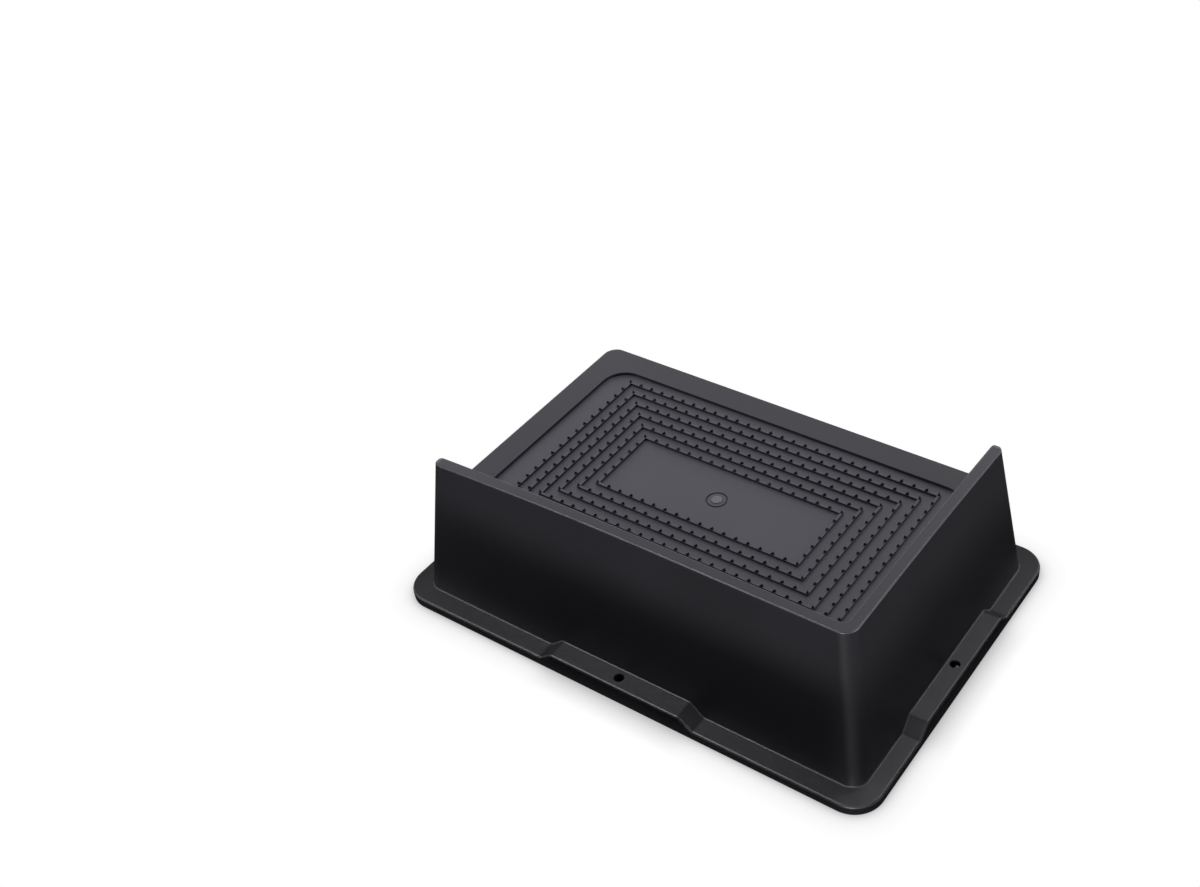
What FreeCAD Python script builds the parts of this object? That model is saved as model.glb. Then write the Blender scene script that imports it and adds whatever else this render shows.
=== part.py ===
import FreeCAD
import Part
import math
import os

from FreeCAD import Vector

# Bed riser: one moulded tray-like block that stands on its flange. Its top deck carries a furniture leg,
# and an L-shaped wall along the front and the right side keeps the leg from sliding off.
# Frame: X along the long side, Y away from the front wall, Z up, origin on the floor under the centre.

# Driving dimensions, in millimetres and degrees.

# Flange: the flat foot around the block, raised in the middle of each side.
FLANGE_LENGTH = 254.0
FLANGE_WIDTH = 175.0
FLANGE_CORNER_RADIUS = 14.0
FLANGE_LOW_HEIGHT = 4.7
FLANGE_RAISED_HEIGHT = 9.9
FLANGE_PLATE = 3.0
SKIRT_THICKNESS = 2.6
RAISED_LENGTH = 70.0
RAMP_RUN = 6.5
RAMP_BEND_RADIUS = 3.0
FLANGE_EDGE_RADIUS = 1.2
FLANGE_ROOT_RADIUS = 0.8

# Screw holes, one through the raised part of each side.
SCREW_HOLE_DIAMETER = 4.8
SCREW_HOLE_FROM_FLANGE_EDGE = 5.6

# Block: four drafted sides from the floor up to the top of the wall, a ledge in from the flange's edge.
END_LEDGE = 8.2
SIDE_LEDGE = 9.0
SIDE_DRAFT_DEGREES = 8.15
BLOCK_CORNER_RADIUS = 7.0
SIDE_THICKNESS = 3.2

# Deck: the level top that carries the leg.
DECK_HEIGHT = 52.8
DECK_THICKNESS = 3.8
DECK_EDGE_RADIUS = 1.0

# Retaining wall along the front (-Y) and the right (+X) side.
WALL_HEIGHT_ABOVE_DECK = 28.2
WALL_TOP_THICKNESS = 5.3
WALL_INNER_DRAFT_DEGREES = 1.0
WALL_INNER_CORNER_RADIUS = 4.0
WALL_FOOT_RADIUS = 2.5
WALL_TOP_EDGE_RADIUS = 0.8
WALL_END_RADIUS = 5.0
FRONT_END_DROP = 3.5
FRONT_DROP_LENGTH = 118.0
RIGHT_END_DROP = 2.5
RIGHT_DROP_LENGTH = 98.0
WALL_CORE_SKIN = 2.6
WALL_CORE_DEPTH = 17.0

# Tread: a shallow panel in the deck with rings of low ribs that carry small teeth.
PANEL_BORDER = 13.5
PANEL_DEPTH = 1.6
PANEL_CORNER_RADIUS = 12.0
RING_COUNT = 6
TOOTH_PITCH = 6.3
TREAD_END_MARGIN = 12.0
TREAD_SIDE_MARGIN = 6.6
TREAD_SET_BACK = 0.5
RIB_WIDTH = 1.3
RIB_HEIGHT = 1.2
RIB_ROOT = 0.85
TOOTH_LENGTH = 1.7
TOOTH_WIDTH = 1.0
TOOTH_HEIGHT = 1.8

# Gate mark: the round groove left in the middle of the panel where the mould was filled.
GATE_RING_DIAMETER = 10.2
GATE_RING_WIDTH = 0.8
GATE_RING_DEPTH = 0.7

# Underside: a grid of ribs that lands on the deck of the next riser when two are stacked.
STACK_RISE = 41.5
STIFFENER_THICKNESS = 2.4
STIFFENER_SPACING = 25.5
LONG_STIFFENER_COUNT = 5
CROSS_STIFFENER_COUNT = 8
STACK_CLEARANCE = 2.5

# Sizes that follow from the ones above.
BLOCK_LENGTH_AT_FLOOR = FLANGE_LENGTH - 2 * END_LEDGE
BLOCK_WIDTH_AT_FLOOR = FLANGE_WIDTH - 2 * SIDE_LEDGE
DRAFT_SLOPE = math.tan(math.radians(SIDE_DRAFT_DEGREES))
INNER_SLOPE = math.tan(math.radians(WALL_INNER_DRAFT_DEGREES))
WALL_TOP = DECK_HEIGHT + WALL_HEIGHT_ABOVE_DECK
DECK_UNDERSIDE = DECK_HEIGHT - DECK_THICKNESS
PANEL_FLOOR = DECK_HEIGHT - PANEL_DEPTH
RIB_TOP = PANEL_FLOOR + RIB_HEIGHT
TREAD_TOP = RIB_TOP + TOOTH_HEIGHT
STIFFENER_BOTTOM = TREAD_TOP - STACK_RISE

# How far cutting tools run past what they cut, and how near counts as touching when edges are picked.
BEYOND = 10.0
NEAR = 0.01
NEAR_AFTER_ROUNDING = 0.1


def half_length(height, inset=0.0):
    """Half the block's length at a height, less an inset from each end."""
    return BLOCK_LENGTH_AT_FLOOR / 2 - DRAFT_SLOPE * height - inset


def half_width(height, inset=0.0):
    """Half the block's width at a height, less an inset from the front and the back."""
    return BLOCK_WIDTH_AT_FLOOR / 2 - DRAFT_SLOPE * height - inset


def rectangle(low_x, high_x, low_y, high_y, height):
    """The four corners of a level rectangle, anticlockwise seen from above."""
    return [
        Vector(low_x, low_y, height),
        Vector(high_x, low_y, height),
        Vector(high_x, high_y, height),
        Vector(low_x, high_y, height),
    ]


def polygon_face(corners):
    """A flat face through its corners."""
    return Part.Face(Part.makePolygon(corners + corners[:1]))


def frustum(lower, upper):
    """A solid with flat sides between two level rectangles."""
    faces = [polygon_face(lower[::-1]), polygon_face(upper)]
    for index in range(4):
        following = (index + 1) % 4
        faces.append(polygon_face([lower[index], lower[following], upper[following], upper[index]]))
    return Part.Solid(Part.Shell(faces))


def centred_box(length, width, bottom, top):
    """A box centred on the Z axis."""
    corner = Vector(-length / 2, -width / 2, bottom)
    return Part.makeBox(length, width, top - bottom, corner)


def heights(shape):
    """The heights of a shape's corner points, from the lowest to the highest."""
    return sorted(vertex.Z for vertex in shape.Vertexes)


def upright_edges(shape):
    """The edges that run from a shape's lowest level to its highest one."""
    levels = heights(shape)
    span = levels[-1] - levels[0]
    return [edge for edge in shape.Edges if heights(edge)[-1] - heights(edge)[0] > span - NEAR]


def level_edges(shape, height):
    """The edges that lie at a height."""
    return [edge for edge in shape.Edges if all(abs(level - height) < NEAR for level in heights(edge))]


def rounded_box(length, width, bottom, top, radius):
    """A centred box with rounded upright edges."""
    box = centred_box(length, width, bottom, top)
    return box.makeFillet(radius, upright_edges(box))


def drafted_block(bottom, top, inset, radius):
    """The block's drafted form between two heights, inset from its sides, with rounded upright edges."""
    levels = []
    for height in (bottom, top):
        half_x = half_length(height, inset)
        half_y = half_width(height, inset)
        levels.append(rectangle(-half_x, half_x, -half_y, half_y, height))
    block = frustum(*levels)
    return block.makeFillet(radius, upright_edges(block))


def leg_space(bottom, growth, foot_radius):
    """The room above the deck inside the L-shaped wall, open to the back, the left and the top.

    It grows towards the wall by `growth`, and its lower edges along the wall are rounded.
    """
    top = WALL_TOP + BEYOND
    levels = []
    for height in (bottom, top):
        foot_spread = INNER_SLOPE * (WALL_TOP - height) - growth
        right = half_length(WALL_TOP) - WALL_TOP_THICKNESS - foot_spread
        front = WALL_TOP_THICKNESS - half_width(WALL_TOP) + foot_spread
        levels.append(rectangle(-BLOCK_LENGTH_AT_FLOOR, right, front, BLOCK_WIDTH_AT_FLOOR, height))
    space = frustum(*levels)
    corner = [edge for edge in upright_edges(space) if edge.CenterOfMass.x > 0 > edge.CenterOfMass.y]
    space = space.makeFillet(WALL_INNER_CORNER_RADIUS + growth, corner)
    if foot_radius > 0:
        foot = [edge for edge in level_edges(space, bottom) if touches_wall(edge)]
        space = space.makeFillet(foot_radius, foot)
    return space


def touches_wall(edge):
    """Whether an edge of the leg space lies along the front or the right wall."""
    middle = edge.CenterOfMass
    return middle.y < -half_width(WALL_TOP) / 2 or middle.x > half_length(WALL_TOP) / 2


def end_drop_cutter(half_run, drop_length, drop, place, push):
    """What the wall's top loses towards its free end: a long shallow arc, then a small end radius.

    `half_run` gives the free end's distance from the middle at a height, `place` puts a point at a
    distance along the wall and a height into space, and `push` carries the profile through the wall.
    """
    start = half_run(WALL_TOP) - drop_length
    arc_radius = drop_length ** 2 / (2 * drop)
    arc_centre = Vector(start, WALL_TOP - arc_radius, 0)
    down_the_end = Vector(DRAFT_SLOPE, -1, 0).normalize()
    inward = Vector(-1, -DRAFT_SLOPE, 0).normalize()
    end_line = Vector(half_run(WALL_TOP), WALL_TOP, 0) + inward * WALL_END_RADIUS
    offset = end_line - arc_centre
    along = offset.dot(down_the_end)
    reach = (arc_radius - WALL_END_RADIUS) ** 2 - offset.dot(offset) + along ** 2
    centre = end_line + down_the_end * (-along - math.sqrt(reach))
    from_arc = (centre - arc_centre).normalize() * WALL_END_RADIUS
    from_end = inward * -WALL_END_RADIUS
    between = (from_arc + from_end).normalize() * WALL_END_RADIUS
    sag_start = Vector(start, WALL_TOP, 0)
    sag_end = centre + from_arc
    sag_middle = (sag_start + sag_end) * 0.5 - arc_centre
    sag_middle = arc_centre + sag_middle.normalize() * arc_radius
    end_foot = centre + from_end
    far = half_run(WALL_TOP) + BEYOND
    above = WALL_TOP + BEYOND
    outline = [end_foot, Vector(far, end_foot.y, 0), Vector(far, above, 0), Vector(start, above, 0), sag_start]
    edges = [
        Part.Arc(place(sag_start), place(sag_middle), place(sag_end)).toShape(),
        Part.Arc(place(sag_end), place(centre + between), place(end_foot)).toShape(),
        Part.makePolygon([place(point) for point in outline]),
    ]
    profile = Part.Face(Part.Wire([edge for part in edges for edge in part.Edges]))
    return profile.extrude(push)


def front_drop_cutter():
    """The cutter for the front wall, whose free end is at the left."""
    reach = BLOCK_WIDTH_AT_FLOOR
    return end_drop_cutter(
        half_length,
        FRONT_DROP_LENGTH,
        FRONT_END_DROP,
        lambda point: Vector(-point.x, -reach / 2, point.y),
        Vector(0, reach, 0),
    )


def right_drop_cutter():
    """The cutter for the right wall, whose free end is at the back."""
    reach = BLOCK_LENGTH_AT_FLOOR
    return end_drop_cutter(
        half_width,
        RIGHT_DROP_LENGTH,
        RIGHT_END_DROP,
        lambda point: Vector(-reach / 2, point.x, point.y),
        Vector(reach, 0, 0),
    )


def flange_profile_solid(run, reach, low, raised, along_x):
    """One pair of the flange's sides in side view: low at the ends, raised in the middle, pushed across."""
    raised_end = RAISED_LENGTH / 2
    ramp_foot = raised_end + RAMP_RUN
    outline = [
        (-run / 2, -BEYOND), (run / 2, -BEYOND), (run / 2, low), (ramp_foot, low), (raised_end, raised),
        (-raised_end, raised), (-ramp_foot, low), (-run / 2, low),
    ]
    if along_x:
        points = [Vector(place, -reach / 2, height) for place, height in outline]
        push = Vector(0, reach, 0)
    else:
        points = [Vector(-reach / 2, place, height) for place, height in outline]
        push = Vector(reach, 0, 0)
    solid = polygon_face(points).extrude(push)
    bends = []
    for edge in solid.Edges:
        box = edge.BoundBox
        place = abs(box.Center.x) if along_x else abs(box.Center.y)
        through = box.YLength if along_x else box.XLength
        at_bend = abs(place - raised_end) < NEAR or abs(place - ramp_foot) < NEAR
        if at_bend and through > reach - NEAR and box.ZMin > low - NEAR:
            bends.append(edge)
    return solid.makeFillet(RAMP_BEND_RADIUS, bends)


def sample_points(edge):
    """Five points along an edge, its ends among them."""
    span = edge.LastParameter - edge.FirstParameter
    return [edge.valueAt(edge.FirstParameter + span * step / 4) for step in range(5)]


def on_rounded_rectangle(point, half_x, half_y, radius, tolerance):
    """Whether a point lies on a rounded rectangle, seen from above."""
    past_x = abs(point.x) - (half_x - radius)
    past_y = abs(point.y) - (half_y - radius)
    if past_x > 0 and past_y > 0:
        return abs(math.hypot(past_x, past_y) - radius) < tolerance
    return abs(max(past_x, past_y) - radius) < tolerance


def flange_top_edges(shape):
    """The edges of a shape that lie no lower than the flange's low top and no higher than its raised one."""
    edges = []
    for edge in shape.Edges:
        levels = heights(edge)
        if FLANGE_LOW_HEIGHT - NEAR < levels[0] and levels[-1] < FLANGE_RAISED_HEIGHT + NEAR:
            edges.append(edge)
    return edges


def flange_rim(flange):
    """The flange's outer top edges, ramps among them."""
    rim = []
    for edge in flange_top_edges(flange):
        half_x = FLANGE_LENGTH / 2
        half_y = FLANGE_WIDTH / 2
        radius = FLANGE_CORNER_RADIUS
        if all(on_rounded_rectangle(point, half_x, half_y, radius, NEAR) for point in sample_points(edge)):
            rim.append(edge)
    return rim


def flange_root(riser):
    """The edges where the flange's top meets the block's sides."""
    root = []
    for edge in flange_top_edges(riser):
        points = sample_points(edge)
        radius = BLOCK_CORNER_RADIUS
        met = [
            on_rounded_rectangle(point, half_length(point.z), half_width(point.z), radius, NEAR_AFTER_ROUNDING)
            for point in points
        ]
        if all(met):
            root.append(edge)
    return root


def flange_form(drop, inset):
    """The flange's outer form, or with a drop and an inset the hollow beneath its plate."""
    low = FLANGE_LOW_HEIGHT - drop
    raised = FLANGE_RAISED_HEIGHT - drop
    sides = flange_profile_solid(FLANGE_LENGTH, FLANGE_WIDTH, low, raised, True)
    ends = flange_profile_solid(FLANGE_WIDTH, FLANGE_LENGTH, low, raised, False)
    bottom = -BEYOND / 2 if inset > 0 else 0.0
    outline = rounded_box(
        FLANGE_LENGTH - 2 * inset,
        FLANGE_WIDTH - 2 * inset,
        bottom,
        FLANGE_RAISED_HEIGHT + BEYOND,
        FLANGE_CORNER_RADIUS - inset,
    )
    return sides.fuse(ends).common(outline).removeSplitter()


def flange_trough():
    """The open channel under the flange, between its skirt and the block's wall."""
    core = drafted_block(-BEYOND, FLANGE_RAISED_HEIGHT, 0.0, BLOCK_CORNER_RADIUS)
    return flange_form(FLANGE_PLATE, SKIRT_THICKNESS).cut(core)


def under_hollow():
    """The open inside of the block, under the deck and up into the foot of the L-shaped wall."""
    corner_radius = BLOCK_CORNER_RADIUS - SIDE_THICKNESS
    hollow = drafted_block(-BEYOND, DECK_UNDERSIDE, SIDE_THICKNESS, corner_radius)
    core_top = DECK_HEIGHT + WALL_CORE_DEPTH
    core = drafted_block(DECK_UNDERSIDE - BEYOND, core_top, SIDE_THICKNESS, corner_radius)
    core = core.cut(leg_space(DECK_UNDERSIDE - 2 * BEYOND, WALL_CORE_SKIN, 0.0))
    return hollow.fuse(core)


def spread(count, spacing):
    """Places of a row of evenly spaced things, centred on zero."""
    return [(index - (count - 1) / 2) * spacing for index in range(count)]


def stiffener_grid():
    """The grid of ribs under the deck, notched where the wall of a riser stacked below would stand."""
    height = DECK_HEIGHT - DECK_THICKNESS / 2 - STIFFENER_BOTTOM
    bars = []
    for place in spread(LONG_STIFFENER_COUNT, STIFFENER_SPACING):
        corner = Vector(-BLOCK_LENGTH_AT_FLOOR / 2, place - STIFFENER_THICKNESS / 2, STIFFENER_BOTTOM)
        bars.append(Part.makeBox(BLOCK_LENGTH_AT_FLOOR, STIFFENER_THICKNESS, height, corner))
    for place in spread(CROSS_STIFFENER_COUNT, STIFFENER_SPACING):
        corner = Vector(place - STIFFENER_THICKNESS / 2, -BLOCK_WIDTH_AT_FLOOR / 2, STIFFENER_BOTTOM)
        bars.append(Part.makeBox(STIFFENER_THICKNESS, BLOCK_WIDTH_AT_FLOOR, height, corner))
    grid = bars[0].multiFuse(bars[1:])
    room_below = leg_space(DECK_HEIGHT - BEYOND, -STACK_CLEARANCE, 0.0)
    room_below.translate(Vector(0, 0, -STACK_RISE))
    notch_top = WALL_TOP - STACK_RISE + STACK_CLEARANCE
    notch = centred_box(BLOCK_LENGTH_AT_FLOOR, BLOCK_WIDTH_AT_FLOOR, STIFFENER_BOTTOM - BEYOND, notch_top)
    grid = grid.cut(notch.cut(room_below))
    inside = drafted_block(0.0, DECK_HEIGHT, SIDE_THICKNESS / 2, BLOCK_CORNER_RADIUS - SIDE_THICKNESS / 2)
    return grid.common(inside)


def panel_size():
    """The panel's length and width, a border in from the deck's edges."""
    return 2 * half_length(DECK_HEIGHT, PANEL_BORDER), 2 * half_width(DECK_HEIGHT, PANEL_BORDER)


def tooth(x, y, lean_x, lean_y):
    """One small pyramid on top of a rib: long the way its tip leans, and square where it stands upright."""
    half_x = (TOOTH_LENGTH if lean_x else TOOTH_WIDTH) / 2
    half_y = (TOOTH_LENGTH if lean_y else TOOTH_WIDTH) / 2
    base = rectangle(x - half_x, x + half_x, y - half_y, y + half_y, RIB_TOP)
    tip = Vector(x + lean_x * half_x, y + lean_y * half_y, TREAD_TOP)
    sides = [polygon_face([base[index], base[(index + 1) % 4], tip]) for index in range(4)]
    return Part.Solid(Part.Shell([polygon_face(base[::-1])] + sides))


def tread_ring(index):
    """One closed rib around the panel with a tooth at every step, counted from the outside in.

    The teeth at its corners stand upright, and the others lean along the rib towards the L-shaped wall.
    """
    panel_length, panel_width = panel_size()
    long_steps = int((panel_length - 2 * TREAD_END_MARGIN) / TOOTH_PITCH) - 2 * index
    short_steps = int((panel_width - 2 * TREAD_SIDE_MARGIN) / TOOTH_PITCH) - 2 * index
    length = long_steps * TOOTH_PITCH
    width = short_steps * TOOTH_PITCH
    bottom = PANEL_FLOOR - RIB_ROOT
    outer = centred_box(length + RIB_WIDTH, width + RIB_WIDTH, bottom, RIB_TOP)
    inner = centred_box(length - RIB_WIDTH, width - RIB_WIDTH, bottom - BEYOND, RIB_TOP + BEYOND)
    teeth = [tooth(x, y, 0, 0) for x in (-length / 2, length / 2) for y in (-width / 2, width / 2)]
    for x in spread(long_steps + 1, TOOTH_PITCH)[1:-1]:
        teeth.append(tooth(x, -width / 2, 1, 0))
        teeth.append(tooth(x, width / 2, 1, 0))
    for y in spread(short_steps + 1, TOOTH_PITCH)[1:-1]:
        teeth.append(tooth(-length / 2, y, 0, -1))
        teeth.append(tooth(length / 2, y, 0, -1))
    ring = outer.cut(inner).multiFuse(teeth)
    ring.translate(Vector(0, TREAD_SET_BACK, 0))
    return ring


def gate_mark():
    """The cutter for the round gate mark in the middle of the panel."""
    foot = Vector(0, 0, PANEL_FLOOR - GATE_RING_DEPTH)
    outer = Part.makeCylinder(GATE_RING_DIAMETER / 2, BEYOND, foot)
    inner = Part.makeCylinder(GATE_RING_DIAMETER / 2 - GATE_RING_WIDTH, BEYOND, foot)
    return outer.cut(inner)


def screw_holes():
    """Four upright drills, one through the raised part of each side of the flange."""
    from_middle_x = FLANGE_LENGTH / 2 - SCREW_HOLE_FROM_FLANGE_EDGE
    from_middle_y = FLANGE_WIDTH / 2 - SCREW_HOLE_FROM_FLANGE_EDGE
    places = [(from_middle_x, 0), (-from_middle_x, 0), (0, from_middle_y), (0, -from_middle_y)]
    height = FLANGE_RAISED_HEIGHT + 2 * BEYOND
    drills = [Part.makeCylinder(SCREW_HOLE_DIAMETER / 2, height, Vector(x, y, -BEYOND)) for x, y in places]
    return Part.makeCompound(drills)


def panel_recess():
    """The shallow rounded recess in the deck."""
    length, width = panel_size()
    return rounded_box(length, width, PANEL_FLOOR, DECK_HEIGHT + BEYOND, PANEL_CORNER_RADIUS)


def wall_top_edges(block):
    """The edges along both faces of the L-shaped wall's top and down its rounded free ends.

    The level seams across the top, where one curve runs smoothly into the next, are left out.
    """
    deepest = max(FRONT_END_DROP, RIGHT_END_DROP) + WALL_END_RADIUS
    edges = []
    for edge in block.Edges:
        levels = heights(edge)
        across = levels[-1] - levels[0] < NEAR and edge.Length < WALL_TOP_THICKNESS + WALL_TOP_EDGE_RADIUS
        if levels[0] > WALL_TOP - deepest and not across:
            edges.append(edge)
    return edges


def deck_rim_edges(block):
    """The deck's free edges along the back and the left side."""
    edges = []
    for edge in level_edges(block, DECK_HEIGHT):
        middle = edge.CenterOfMass
        at_back = middle.y > half_width(DECK_HEIGHT, BLOCK_CORNER_RADIUS)
        at_left = middle.x < -half_length(DECK_HEIGHT, BLOCK_CORNER_RADIUS)
        if at_back or at_left:
            edges.append(edge)
    return edges


def deck_and_wall():
    """The block down to its deck, with the L-shaped wall left standing and its edges rounded."""
    block = drafted_block(0.0, WALL_TOP, 0.0, BLOCK_CORNER_RADIUS)
    block = block.cut(leg_space(DECK_HEIGHT, 0.0, WALL_FOOT_RADIUS))
    block = block.cut(front_drop_cutter())
    block = block.cut(right_drop_cutter())
    block = block.makeFillet(DECK_EDGE_RADIUS, deck_rim_edges(block))
    return block.makeFillet(WALL_TOP_EDGE_RADIUS, wall_top_edges(block))


def flange():
    """The flange with its outer top edge rounded."""
    plate = flange_form(0.0, 0.0)
    return plate.makeFillet(FLANGE_EDGE_RADIUS, flange_rim(plate))


def build_riser():
    """The whole riser as one solid."""
    riser = deck_and_wall().fuse(flange()).removeSplitter()
    riser = riser.makeFillet(FLANGE_ROOT_RADIUS, flange_root(riser))
    riser = riser.cut(flange_trough())
    riser = riser.cut(under_hollow())
    riser = riser.fuse(stiffener_grid())
    riser = riser.cut(screw_holes())
    riser = riser.cut(panel_recess())
    rings = [tread_ring(index) for index in range(RING_COUNT)]
    riser = riser.multiFuse(rings)
    return riser.cut(gate_mark())


if __name__ == "__main__":
    os.makedirs("parts", exist_ok=True)
    riser = build_riser()
    riser.exportStep("parts/riser.step")
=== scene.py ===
"""Dresses the moulded bed riser: its one-piece body, the gate's stub, the studio around it and the camera."""

import logging
import math
from dataclasses import dataclass, field
from enum import Enum

import bmesh
import bpy
from mathutils import Matrix, Vector

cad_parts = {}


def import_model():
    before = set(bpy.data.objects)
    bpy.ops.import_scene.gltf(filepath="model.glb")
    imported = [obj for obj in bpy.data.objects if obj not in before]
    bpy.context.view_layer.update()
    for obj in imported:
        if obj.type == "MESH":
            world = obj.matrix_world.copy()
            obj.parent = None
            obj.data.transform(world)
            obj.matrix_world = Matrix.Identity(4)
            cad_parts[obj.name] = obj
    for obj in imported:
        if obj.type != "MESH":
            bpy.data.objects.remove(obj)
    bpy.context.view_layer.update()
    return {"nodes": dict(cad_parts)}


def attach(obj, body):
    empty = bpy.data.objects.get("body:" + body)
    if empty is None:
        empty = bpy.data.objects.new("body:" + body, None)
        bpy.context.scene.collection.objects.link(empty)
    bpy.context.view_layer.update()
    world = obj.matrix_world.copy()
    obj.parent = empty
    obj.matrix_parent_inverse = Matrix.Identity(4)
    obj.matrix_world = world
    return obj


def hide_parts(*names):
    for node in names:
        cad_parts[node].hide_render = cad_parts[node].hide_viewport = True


LOG = logging.getLogger("bed_riser")
MM = 0.001
BODY = "root"
CAD_NODE = "riser"

# Heights that the body's finishes and the gate's stub share.
DECK = 52.8 * MM
PANEL_FLOOR = 51.2 * MM

# A face whose normal points up more than this is level, such as a floor or a rib's top.
LEVEL = 0.9


class Zone(Enum):
    """The riser's finishes, in the order of its material slots."""

    SKIN = 0
    TREAD = 1
    # Steep sides in the tread panel, darkened with painted shade.
    CUT_PAINTED_SHADE = 2


def linear(hex_colour: str) -> tuple[float, float, float, float]:
    """Turns an sRGB hex colour into linear light.

    Args:
        hex_colour: Six hex digits, such as "3a3a3d".

    Returns:
        Red, green, blue and an alpha of one.
    """
    channels = [int(hex_colour[start:start + 2], 16) / 255 for start in (0, 2, 4)]
    return (*[c / 12.92 if c <= 0.04045 else ((c + 0.055) / 1.055) ** 2.4 for c in channels], 1.0)


def direction(azimuth: float, elevation: float) -> Vector:
    """Gives the way from the riser towards a light or the camera.

    Args:
        azimuth: Degrees from the front towards the right side.
        elevation: Degrees above the floor.

    Returns:
        A vector of length one.
    """
    turn, rise = math.radians(azimuth), math.radians(elevation)
    return Vector((math.sin(turn) * math.cos(rise), -math.cos(turn) * math.cos(rise), math.sin(rise)))


def add_node(
    tree: bpy.types.NodeTree, kind: str, settings: dict | None = None, links: dict | None = None
) -> bpy.types.Node:
    """Adds a node with its settings and the links into it.

    Args:
        tree: The node tree that gets the node.
        kind: The node's type name.
        settings: Attribute names, or input names or numbers, with their values.
        links: Input names or numbers with the output socket that feeds each.

    Returns:
        The new node.
    """
    node = tree.nodes.new(kind)
    for name, value in (settings or {}).items():
        if isinstance(name, str) and hasattr(node, name):
            setattr(node, name, value)
        else:
            node.inputs[name].default_value = value
    for name, socket in (links or {}).items():
        tree.links.new(socket, node.inputs[name])
    return node


def new_material(name: str) -> bpy.types.Material:
    """Makes a material that has the one standard shader.

    Args:
        name: The material's name.

    Returns:
        The material.
    """
    material = bpy.data.materials.new(name)
    material.use_nodes = True
    return material


def new_object(name: str, shape: bmesh.types.BMesh, *materials: bpy.types.Material) -> bpy.types.Object:
    """Turns a finished shape into an object at the origin.

    Args:
        name: The name of the object and its mesh.
        shape: The shape, which is used up.
        materials: The materials, in the order of their slots.

    Returns:
        The object.
    """
    mesh = bpy.data.meshes.new(name)
    for material in materials:
        mesh.materials.append(material)
    shape.to_mesh(mesh)
    shape.free()
    made = bpy.data.objects.new(name, mesh)
    bpy.context.scene.collection.objects.link(made)
    return made


@dataclass(frozen=True)
class MouldedPolypropylene:
    """Black polypropylene, injection moulded against a finely eroded steel mould.

    The eye sees a dark satin skin: a fine even grain that breaks up reflections, and slow, faint
    differences in shade and gloss where the melt cooled against the mould.
    """

    name: str
    darkest: str
    lightest: str
    roughness: float
    ior: float = 1.49
    metallic: float = 0.0
    gloss_spread: float = 0.03
    grain_size: float = 0.35 * MM
    grain_depth: float = 0.01 * MM
    grain_detail: float = 2.0
    grain_strength: float = 0.5
    flow_size: float = 45 * MM
    flow_detail: float = 3.0

    def build(self) -> bpy.types.Material:
        """Makes the material.

        Returns:
            The finished material.
        """
        material = new_material(self.name)
        tree = material.node_tree
        shader = tree.nodes["Principled BSDF"]
        shader.inputs["IOR"].default_value = self.ior
        shader.inputs["Metallic"].default_value = self.metallic
        place = add_node(tree, "ShaderNodeTexCoord").outputs["Object"]
        grain, flow = (
            add_node(tree, "ShaderNodeTexNoise", {"Scale": 1 / size, "Detail": detail}, {"Vector": place})
            for size, detail in ((self.grain_size, self.grain_detail), (self.flow_size, self.flow_detail))
        )
        tint = add_node(
            tree,
            "ShaderNodeMix",
            {"data_type": "RGBA", 6: linear(self.darkest), 7: linear(self.lightest)},
            {0: flow.outputs["Fac"]},
        )
        gloss = add_node(
            tree,
            "ShaderNodeMapRange",
            {"To Min": self.roughness - self.gloss_spread, "To Max": self.roughness + self.gloss_spread},
            {"Value": flow.outputs["Fac"]},
        )
        bump = add_node(
            tree,
            "ShaderNodeBump",
            {"Strength": self.grain_strength, "Distance": self.grain_depth},
            {"Height": grain.outputs["Fac"]},
        )
        tree.links.new(tint.outputs[2], shader.inputs["Base Color"])
        tree.links.new(gloss.outputs["Result"], shader.inputs["Roughness"])
        tree.links.new(bump.outputs["Normal"], shader.inputs["Normal"])
        return material


# The outer skin, moulded against fine-blasted steel: a dark satin.
SKIN = MouldedPolypropylene("moulded_polypropylene_skin", "101013", "131316", roughness=0.42)

# The tread panel's floor and rib tops, moulded against spark-eroded steel: a little paler and more matt.
TREAD = MouldedPolypropylene(
    "moulded_polypropylene_tread", "26252a", "2a292e", roughness=0.45, grain_depth=0.02 * MM
)

# The steep sides cut into the panel's mould, such as ribs and teeth: smooth and glossier, with a far darker
# colour than the tread's as painted shade on every steep face.
CUT_PAINTED_SHADE = MouldedPolypropylene(
    "moulded_polypropylene_cut_sides_painted_shade", "060608", "08080a", roughness=0.16, grain_depth=0.002 * MM
)

# The gate's sheared stub: rough, matt and paler, because the torn plastic scatters light.
SHEARED = MouldedPolypropylene("sheared_polypropylene", "3e3d43", "46454b", roughness=0.6, grain_depth=0.03 * MM)


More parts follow.
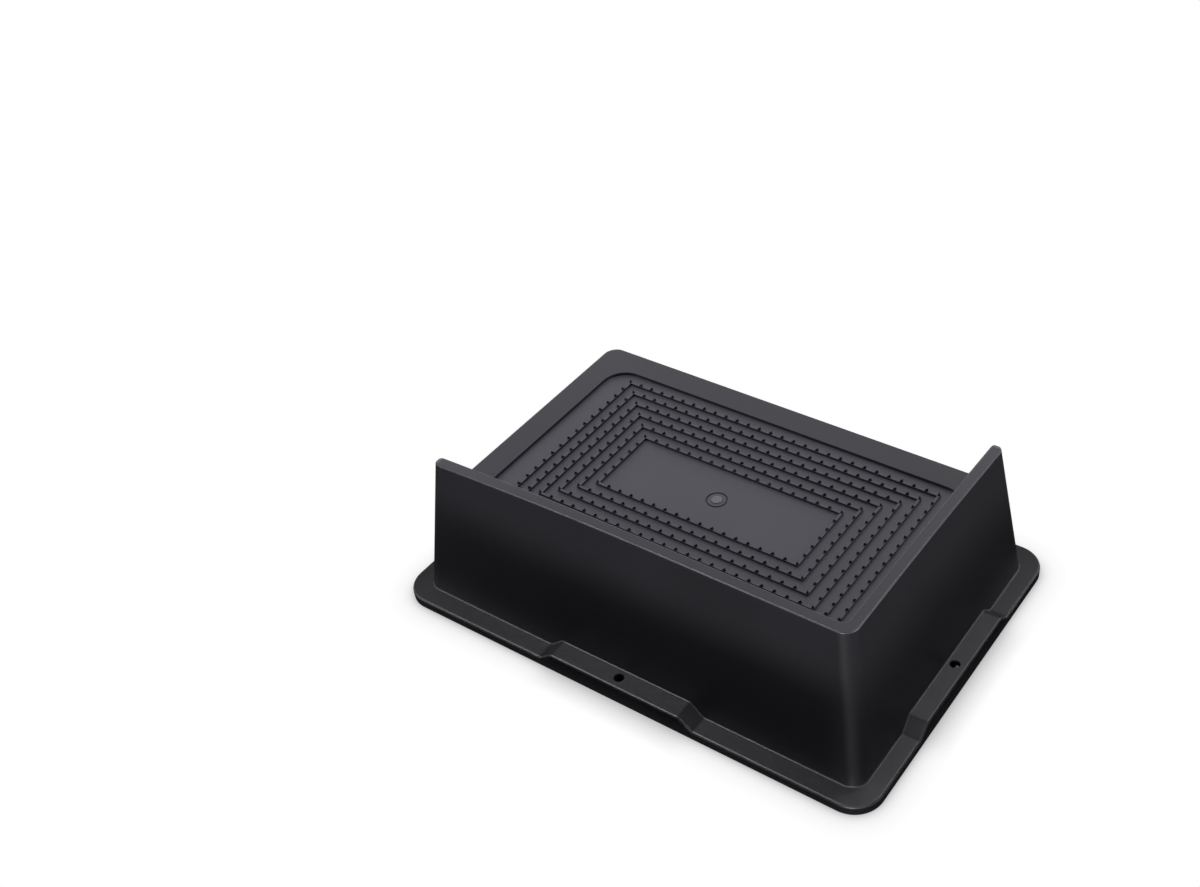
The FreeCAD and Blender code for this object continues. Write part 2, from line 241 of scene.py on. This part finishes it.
@dataclass(frozen=True)
class MouldedBody:
    """The riser's one-piece moulding, taken over from the frame with its facets smoothed.

    The tread panel in the deck has finishes of its own, with painted shade on its steep sides. Its sizes here
    are the recess's half length and half width, the height of its floor, the gate mark's depth and radius and
    the deck's height.
    """

    name: str = "riser_body"
    skin: MouldedPolypropylene = SKIN
    tread: MouldedPolypropylene = TREAD
    cut: MouldedPolypropylene = CUT_PAINTED_SHADE
    panel_half_length: float = 97.74 * MM
    panel_half_width: float = 57.44 * MM
    panel_floor: float = PANEL_FLOOR
    groove_depth: float = 0.7 * MM
    gate_radius: float = 5.5 * MM
    deck: float = DECK
    near: float = 0.05 * MM
    crease_degrees: float = 32.0
    weld_distance: float = 0.0005 * MM
    flat_face_weight: int = 100

    def zone(self, face: bmesh.types.BMFace) -> Zone:
        """Tells which finish a face has.

        Args:
            face: A face of the moulding.

        Returns:
            The tread's zone for the panel's floor, rib tops and gate mark, the cut zone for the steep sides in
            the panel, teeth among them, whose dark colour is painted shade, and the skin's for the rest.
        """
        middle = face.calc_center_median()
        inside = (
            abs(middle.x) < self.panel_half_length + self.near
            and abs(middle.y) < self.panel_half_width + self.near
            and middle.z > self.panel_floor - self.groove_depth - self.near
        )
        level = face.normal.z > LEVEL
        if not inside or (level and middle.z > self.deck - self.near):
            return Zone.SKIN
        in_groove = middle.z < self.panel_floor - self.near and middle.xy.length < self.gate_radius
        # Steep faces in the panel get the cut finish, whose dark colour is painted shade.
        return Zone.TREAD if level or in_groove else Zone.CUT_PAINTED_SHADE

    def build(self, source: bpy.types.Object) -> bpy.types.Object:
        """Makes the body from a copy of the frame's node.

        Args:
            source: The node's object.

        Returns:
            The finished body.
        """
        shape = bmesh.new()
        shape.from_mesh(source.data)
        bmesh.ops.remove_doubles(shape, verts=shape.verts, dist=self.weld_distance)
        shape.normal_update()
        for face in shape.faces:
            face.smooth = True
            face.material_index = self.zone(face).value
        crease = math.radians(self.crease_degrees)
        for edge in shape.edges:
            edge.smooth = len(edge.link_faces) == 2 and edge.calc_face_angle(0.0) < crease
        body = new_object(self.name, shape, *(finish.build() for finish in (self.skin, self.tread, self.cut)))
        weighted = body.modifiers.new("flat_faces_lead", "WEIGHTED_NORMAL")
        weighted.keep_sharp = True
        weighted.weight = self.flat_face_weight
        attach(body, BODY)
        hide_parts(CAD_NODE)
        return body


@dataclass(frozen=True)
class GateStub:
    """The low round stub left where the gate was sheared off, in the middle of the panel's gate mark."""

    name: str = "gate_stub"
    finish: MouldedPolypropylene = SHEARED
    radius: float = 2.5 * MM
    rise: float = 0.3 * MM
    sunk: float = 0.05 * MM
    edge_radius: float = 0.1 * MM
    edge_segments: int = 2
    tip_inset: float = 1.0 * MM
    tip_rise: float = 0.15 * MM
    panel_floor: float = PANEL_FLOOR
    near: float = 0.01 * MM
    flat_from: float = 0.999
    sides: int = 48

    def on_rim(self, edge: bmesh.types.BMEdge) -> bool:
        """Tells whether an edge lies on the stub's upper rim.

        Args:
            edge: An edge of the stub.

        Returns:
            True for an edge of the rim.
        """
        height, reach = self.panel_floor + self.rise, self.radius - self.near
        return all(abs(vert.co.z - height) < self.near and vert.co.xy.length > reach for vert in edge.verts)

    def build(self) -> bpy.types.Object:
        """Makes the stub.

        Returns:
            The finished stub.
        """
        shape = bmesh.new()
        bmesh.ops.create_cone(
            shape,
            cap_ends=True,
            segments=self.sides,
            radius1=self.radius,
            radius2=self.radius,
            depth=self.rise + self.sunk,
        )
        bmesh.ops.translate(shape, vec=(0, 0, self.panel_floor + (self.rise - self.sunk) / 2), verts=shape.verts)
        top = [face for face in shape.faces if face.normal.z > LEVEL]
        bmesh.ops.inset_region(shape, faces=top, thickness=self.tip_inset, use_even_offset=True)
        bmesh.ops.translate(shape, vec=(0, 0, self.tip_rise), verts=top[0].verts)
        bmesh.ops.bevel(
            shape,
            geom=[edge for edge in shape.edges if self.on_rim(edge)],
            offset=self.edge_radius,
            segments=self.edge_segments,
            profile=0.5,
            affect="EDGES",
            material=-1,
        )
        for face in shape.faces:
            face.smooth = abs(face.normal.z) < self.flat_from
        stub = new_object(self.name, shape, self.finish.build())
        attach(stub, BODY)
        return stub


@dataclass(frozen=True)
class PaleFloor:
    """A plain pale floor that shows white and keeps the riser's soft shadow where the two come close."""

    name: str = "floor"
    size: float = 6.0
    colour: str = "ffffff"
    bounce: float = 0.006
    shadow_reach: float = 13 * MM
    shadow_samples: int = 16

    def finish(self) -> bpy.types.Material:
        """Makes the floor's material, which is pale to the camera and dim to the riser.

        Returns:
            The finished material.
        """
        material = new_material("pale_floor")
        tree = material.node_tree
        tree.nodes.clear()
        path = add_node(tree, "ShaderNodeLightPath")
        shadow = add_node(
            tree,
            "ShaderNodeAmbientOcclusion",
            {"samples": self.shadow_samples, "Color": linear(self.colour), "Distance": self.shadow_reach},
        )
        seen = add_node(tree, "ShaderNodeEmission", {}, {"Color": shadow.outputs["Color"]})
        dim = add_node(tree, "ShaderNodeBsdfDiffuse", {"Color": (self.bounce, self.bounce, self.bounce, 1)})
        mixed = add_node(
            tree,
            "ShaderNodeMixShader",
            {},
            {0: path.outputs["Is Camera Ray"], 1: dim.outputs[0], 2: seen.outputs[0]},
        )
        add_node(tree, "ShaderNodeOutputMaterial", {}, {"Surface": mixed.outputs[0]})
        return material

    def build(self) -> bpy.types.Object:
        """Makes the floor.

        Returns:
            The floor's object.
        """
        shape = bmesh.new()
        bmesh.ops.create_grid(shape, x_segments=1, y_segments=1, size=self.size / 2)
        floor = new_object(self.name, shape, self.finish())
        return floor


@dataclass(frozen=True)
class BlackFlags:
    """Four low black cards, one along each side, that keep stray light off the foot of the riser."""

    name: str = "black_flags"
    colour: str = "0a0a0a"
    top: float = 64 * MM
    bottom: float = 12 * MM
    from_middle_x: float = 170 * MM
    from_middle_y: float = 132 * MM
    long_half: float = 128 * MM
    short_half: float = 90 * MM

    def finish(self) -> bpy.types.Material:
        """Makes the card's material, a black that has no shine.

        Returns:
            The finished material.
        """
        material = new_material("black_card")
        card = material.node_tree.nodes["Principled BSDF"]
        card.inputs["Base Color"].default_value = linear(self.colour)
        card.inputs["Roughness"].default_value = 1.0
        card.inputs["Specular IOR Level"].default_value = 0.0
        return material

    def build(self) -> bpy.types.Object:
        """Makes the cards, which the camera doesn't see.

        Returns:
            The cards' object.
        """
        shape = bmesh.new()
        upright = Matrix.Rotation(math.pi / 2, 4, "X")
        reaches = ((self.long_half, self.from_middle_y), (self.short_half, self.from_middle_x)) * 2
        for quarter, (half, away) in enumerate(reaches):
            card = bmesh.ops.create_grid(shape, x_segments=1, y_segments=1, size=1.0)["verts"]
            bmesh.ops.scale(shape, vec=(half, (self.top - self.bottom) / 2, 1), verts=card)
            shift = Matrix.Translation((0, -away, (self.top + self.bottom) / 2))
            place = Matrix.Rotation(quarter * math.pi / 2, 4, "Z") @ shift
            bmesh.ops.transform(shape, matrix=place @ upright, verts=card)
        flags = new_object(self.name, shape, self.finish())
        flags.visible_camera = False
        return flags


@dataclass(frozen=True)
class Softbox:
    """One soft round light that points at the riser."""

    name: str
    azimuth: float
    elevation: float
    power: float
    size: float = 0.3
    distance: float = 1.2

    def build(self) -> bpy.types.Object:
        """Makes the light, which the camera doesn't see.

        Returns:
            The light's object.
        """
        lamp = bpy.data.lights.new(self.name, "AREA")
        lamp.shape = "DISK"
        lamp.size = self.size
        lamp.energy = self.power
        light = bpy.data.objects.new(self.name, lamp)
        light.visible_camera = False
        away = direction(self.azimuth, self.elevation)
        light.location = away * self.distance
        light.rotation_mode = "QUATERNION"
        light.rotation_quaternion = (-away).to_track_quat("-Z", "Y")
        bpy.context.scene.collection.objects.link(light)
        return light


@dataclass(frozen=True)
class SoftDome:
    """The studio's walls and ceiling: bright and faintly cool, softer overhead, plain white to the camera."""

    colour: str = "f4f2fb"
    backdrop: str = "ffffff"
    overhead: float = 0.85
    walls: float = 2.8
    fade_from: float = 0.0
    fade_to: float = 0.63

    def build(self) -> None:
        """Makes the world."""
        world = bpy.data.worlds.new("studio")
        bpy.context.scene.world = world
        world.use_nodes = True
        tree = world.node_tree
        tree.nodes.clear()
        path = add_node(tree, "ShaderNodeLightPath")
        place = add_node(tree, "ShaderNodeTexCoord")
        height = add_node(tree, "ShaderNodeSeparateXYZ", {}, {0: place.outputs["Generated"]})
        level = add_node(
            tree,
            "ShaderNodeMapRange",
            {
                "interpolation_type": "SMOOTHSTEP",
                "From Min": self.fade_from,
                "From Max": self.fade_to,
                "To Min": self.walls,
                "To Max": self.overhead,
            },
            {"Value": height.outputs["Z"]},
        )
        around = add_node(
            tree, "ShaderNodeBackground", {"Color": linear(self.colour)}, {"Strength": level.outputs["Result"]}
        )
        backdrop = add_node(tree, "ShaderNodeBackground", {"Color": linear(self.backdrop), "Strength": 1.0})
        mixed = add_node(
            tree,
            "ShaderNodeMixShader",
            {},
            {0: path.outputs["Is Camera Ray"], 1: around.outputs[0], 2: backdrop.outputs[0]},
        )
        add_node(tree, "ShaderNodeOutputWorld", {}, {"Surface": mixed.outputs[0]})


@dataclass(frozen=True)
class Studio:
    """Plain soft studio light and a pale floor."""

    floor: PaleFloor = field(default_factory=PaleFloor)
    flags: BlackFlags = field(default_factory=BlackFlags)
    dome: SoftDome = field(default_factory=SoftDome)
    lights: tuple[Softbox, ...] = (
        Softbox("left_softbox", azimuth=-48.0, elevation=58.0, power=8.2),
        Softbox("right_softbox", azimuth=156.0, elevation=57.0, power=3.6),
        Softbox("low_softbox", azimuth=22.0, elevation=12.0, power=9.0),
        Softbox("side_softbox", azimuth=98.0, elevation=24.0, power=9.0, size=0.8),
    )

    def build(self) -> None:
        """Makes the floor, the cards, the lights and the dome."""
        self.floor.build()
        self.flags.build()
        for light in self.lights:
            light.build()
        self.dome.build()
        bpy.context.scene.view_settings.view_transform = "Standard"


@dataclass(frozen=True)
class PhotoCamera:
    """The camera at the photograph's viewing angle."""

    azimuth: float = 38.364
    elevation: float = 43.744
    roll: float = -5.597
    distance: float = 678.463 * MM
    right: float = -19.101 * MM
    up: float = 11.096 * MM
    lens: float = 42.696
    sensor: float = 36.0
    shift_x: float = -0.0687
    shift_y: float = 0.0944

    def build(self) -> bpy.types.Object:
        """Makes the camera.

        Returns:
            The camera's object.
        """
        back = direction(self.azimuth, self.elevation)
        level = direction(self.azimuth + 90.0, 0.0)
        upward = back.cross(level)
        roll = math.radians(self.roll)
        side = level * math.cos(roll) + upward * math.sin(roll)
        top = upward * math.cos(roll) - level * math.sin(roll)
        data = bpy.data.cameras.new("photo_camera")
        data.sensor_width = self.sensor
        data.lens = self.lens
        data.shift_x = self.shift_x
        data.shift_y = self.shift_y
        camera = bpy.data.objects.new("photo_camera", data)
        turn = Matrix((side, top, back)).transposed().to_4x4()
        camera.matrix_world = Matrix.Translation(back * self.distance + side * self.right + top * self.up) @ turn
        bpy.context.scene.collection.objects.link(camera)
        bpy.context.scene.camera = camera
        return camera


def main() -> None:
    """Builds the riser, the studio and the camera."""
    logging.basicConfig(level=logging.INFO)
    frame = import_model()
    for piece in (MouldedBody().build(frame["nodes"][CAD_NODE]), GateStub().build()):
        LOG.info("%s: %d faces", piece.name, len(piece.data.polygons))
    Studio().build()
    PhotoCamera().build()


if __name__ == "__main__":
    main()
